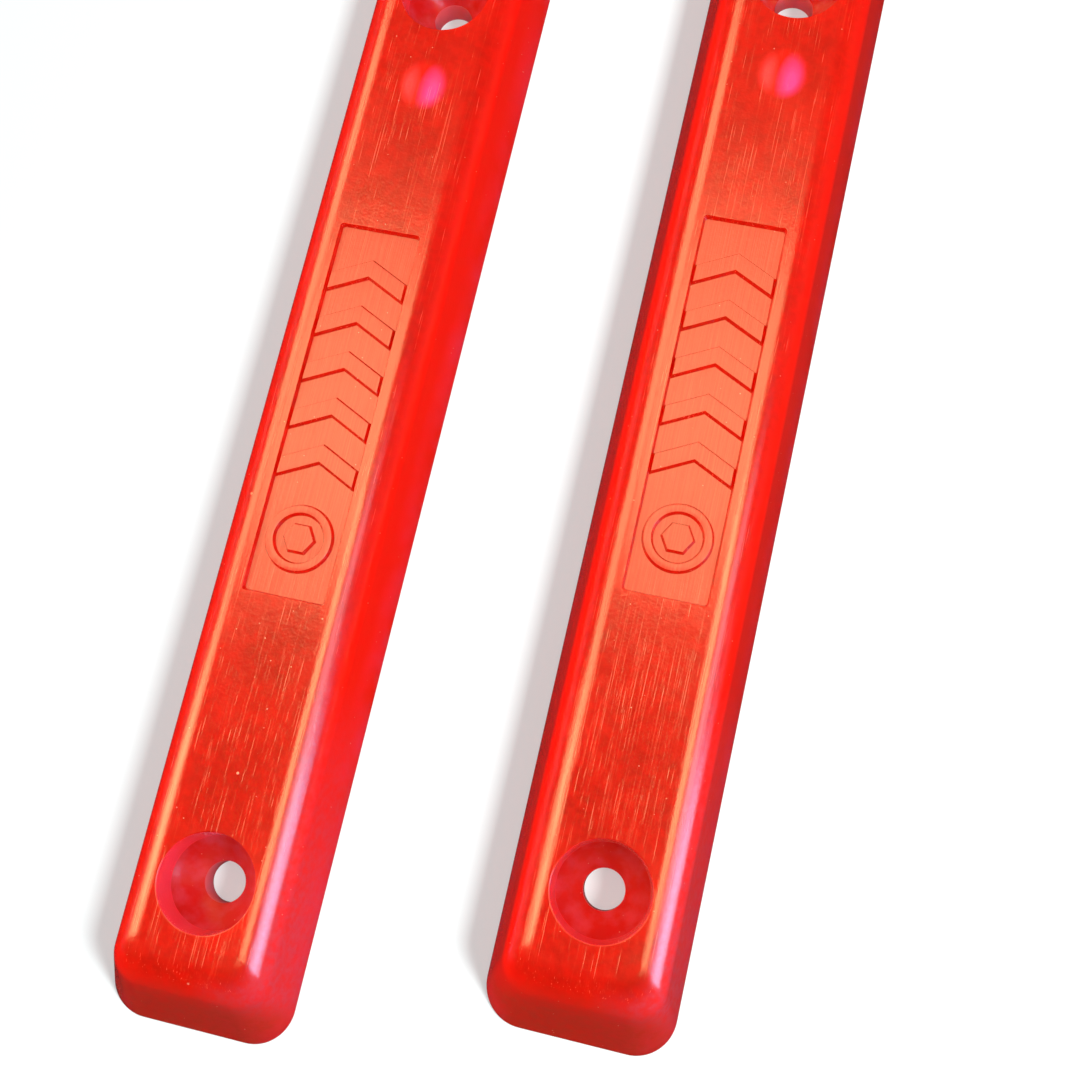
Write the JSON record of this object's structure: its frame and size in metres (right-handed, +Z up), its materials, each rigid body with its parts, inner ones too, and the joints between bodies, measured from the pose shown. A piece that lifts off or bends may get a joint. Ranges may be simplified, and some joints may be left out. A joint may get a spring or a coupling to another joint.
{
  "type": "skateboard deck rail pair",
  "caption": "Pair of narrow translucent urethane deck rails with rounded tops, ramped ends, countersunk screw holes and sunk relief panels.",
  "frame": {"origin": "on the surface that the rails lie on, under the middle of the pair's box", "axes": "+Y along the rails, +X across from the left rail to the right one, +Z up through the rails' tops"},
  "size_m": [0.0644, 0.3768, 0.0095],
  "materials": {
    "urethane": "translucent moulded red urethane, glossy with fine scratches along its length"
  },
  "bodies": {
    "left": {"left_rail": "urethane"},
    "right": {"right_rail": "urethane"}
  },
  "joints": [
    {"name": "right_rail_lift", "type": "slide", "parent": "left", "child": "right", "axis": [0, 0, 1], "range_m": [0, 0.05]}
  ]
}
